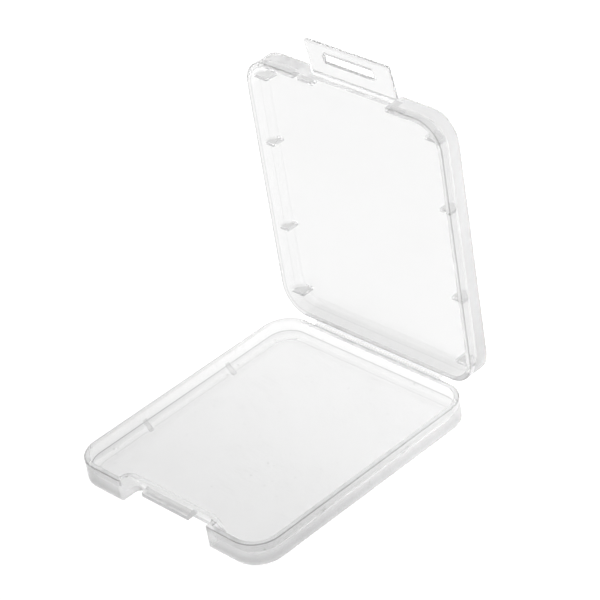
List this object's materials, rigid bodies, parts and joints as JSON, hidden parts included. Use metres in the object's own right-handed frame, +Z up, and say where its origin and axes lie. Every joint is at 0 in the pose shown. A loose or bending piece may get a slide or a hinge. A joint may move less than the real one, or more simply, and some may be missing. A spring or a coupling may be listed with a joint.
{
  "type": "memory card case",
  "caption": "Open clear plastic memory card case: shallow base and lid on a film hinge, with a windowed latch flap that hooks over a catch lug.",
  "frame": {"origin": "middle of the flat underside of the base", "axes": "+Z up from the table, +Y from the latch to the hinge, +X to the right as seen from the latch"},
  "size_m": [0.043, 0.0536, 0.059],
  "materials": {
    "clear_plastic": "clear moulded polypropylene, glossy",
    "hinge_film": "thin flexed polypropylene, slightly hazy"
  },
  "bodies": {
    "base": {"base_tray": "clear_plastic", "main_hinge_film": "hinge_film"},
    "lid": {"lid_shell": "clear_plastic", "latch_hinge_film": "hinge_film"},
    "flap": {"latch_flap": "clear_plastic"}
  },
  "joints": [
    {"name": "lid_hinge", "type": "hinge", "parent": "base", "child": "lid", "pos_m": [0, 0.025, 0.00415], "axis": [-1, 0, 0], "range_deg": [-90, 90], "deforming": ["main_hinge_film"]},
    {"name": "flap_hinge", "type": "hinge", "parent": "lid", "child": "flap", "pos_m": [0, 0.02855, 0.05225], "axis": [1, 0, 0], "range_deg": [-8, 82], "deforming": ["latch_hinge_film"]}
  ]
}
